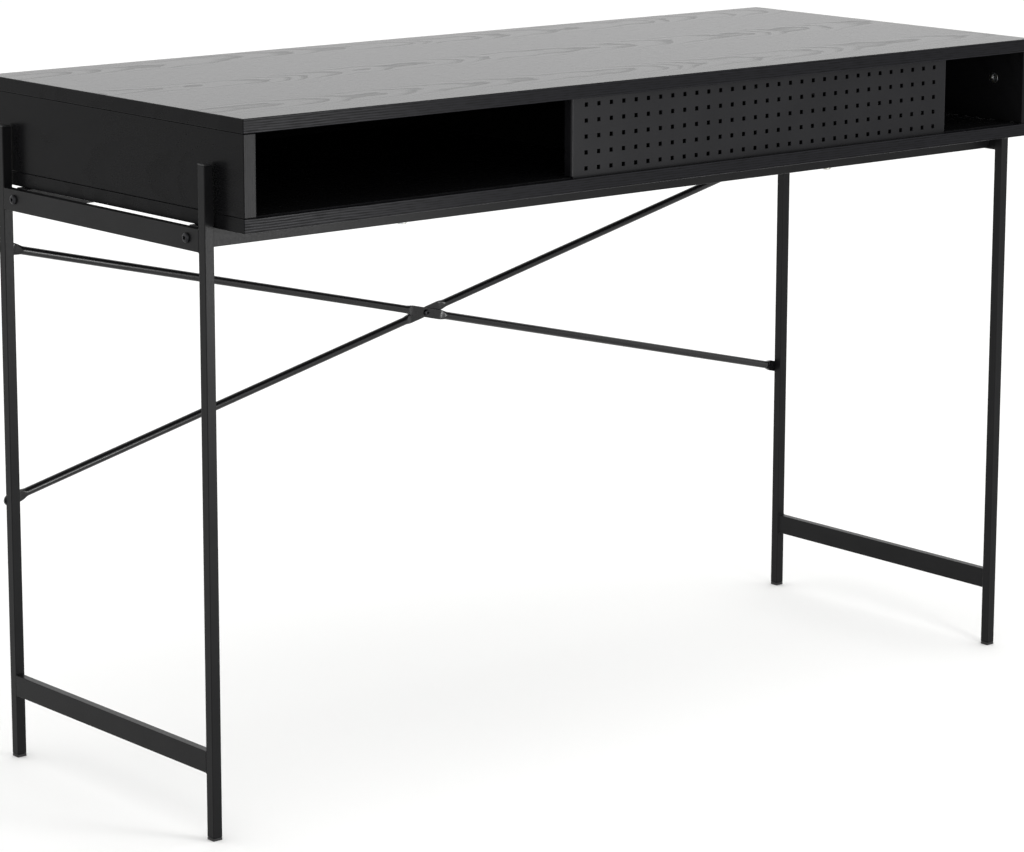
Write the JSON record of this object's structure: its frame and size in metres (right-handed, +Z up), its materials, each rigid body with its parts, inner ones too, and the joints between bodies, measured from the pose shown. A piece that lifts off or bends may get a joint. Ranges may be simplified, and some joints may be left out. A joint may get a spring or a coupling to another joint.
{
  "type": "writing desk",
  "caption": "Writing desk with a flat black case, two open compartments and a perforated sliding door, on slim square steel legs with a crossed back brace.",
  "frame": {"origin": "on the floor, under the middle of the case", "axes": "+X to the right along the desk's length, +Y towards the back, +Z up"},
  "size_m": [1.2566, 0.5, 0.8],
  "materials": {
    "black_ash_veneer": "black stained ash veneer, satin",
    "black_powder_coat": "fine matt powder coat on steel tube",
    "door_powder_coat": "satin powder coat on perforated sheet",
    "black_oxide_steel": "blackened bolts and nuts",
    "zinc_plated_steel": "bright zinc plate",
    "black_plastic": "moulded, matt"
  },
  "bodies": {
    "desk": {"back_board": "black_ash_veneer", "board_screw_back_left": "zinc_plated_steel", "board_screw_back_right": "zinc_plated_steel", "board_screw_front_left": "zinc_plated_steel", "board_screw_front_right": "zinc_plated_steel", "bottom_board": "black_ash_veneer", "brace_bolt_lower_left": "black_oxide_steel", "brace_bolt_lower_right": "black_oxide_steel", "brace_bolt_upper_left": "black_oxide_steel", "brace_bolt_upper_right": "black_oxide_steel", "brace_centre_bolt": "black_oxide_steel", "brace_centre_nut": "black_oxide_steel", "brace_insert_lower_left": "zinc_plated_steel", "brace_insert_lower_right": "zinc_plated_steel", "brace_insert_upper_left": "zinc_plated_steel", "brace_insert_upper_right": "zinc_plated_steel", "brace_rod_back": "black_powder_coat", "brace_rod_front": "black_powder_coat", "cam_dowel_back_left": "zinc_plated_steel", "cam_dowel_back_right": "zinc_plated_steel", "cam_dowel_front_left": "zinc_plated_steel", "cam_dowel_front_right": "zinc_plated_steel", "cam_lock_back_left": "zinc_plated_steel", "cam_lock_back_right": "zinc_plated_steel", "cam_lock_front_left": "zinc_plated_steel", "cam_lock_front_right": "zinc_plated_steel", "cap_back_left": "black_plastic", "cap_back_right": "black_plastic", "cap_front_left": "black_plastic", "cap_front_right": "black_plastic", "case_screw_back_left": "zinc_plated_steel", "case_screw_back_right": "zinc_plated_steel", "case_screw_front_left": "zinc_plated_steel", "case_screw_front_right": "zinc_plated_steel", "centre_divider": "black_ash_veneer", "cross_rail_back": "black_powder_coat", "cross_rail_front": "black_powder_coat", "divider_screw_back": "zinc_plated_steel", "divider_screw_front": "zinc_plated_steel", "frame_bolt_back_left": "black_oxide_steel", "frame_bolt_back_right": "black_oxide_steel", "frame_bolt_front_left": "black_oxide_steel", "frame_bolt_front_right": "black_oxide_steel", "glide_back_left": "black_plastic", "glide_back_right": "black_plastic", "glide_front_left": "black_plastic", "glide_front_right": "black_plastic", "leg_back_left": "black_powder_coat", "leg_back_right": "black_powder_coat", "leg_front_left": "black_powder_coat", "leg_front_right": "black_powder_coat", "lower_rail_left": "black_powder_coat", "lower_rail_right": "black_powder_coat", "side_panel_left": "black_ash_veneer", "side_panel_right": "black_ash_veneer", "top_board": "black_ash_veneer", "upper_rail_left": "black_powder_coat", "upper_rail_right": "black_powder_coat"},
    "door": {"sliding_door": "door_powder_coat"}
  },
  "joints": [
    {"name": "door_slide", "type": "slide", "parent": "desk", "child": "door", "axis": [1, 0, 0], "range_m": [-0.4445, 0.1305]}
  ]
}
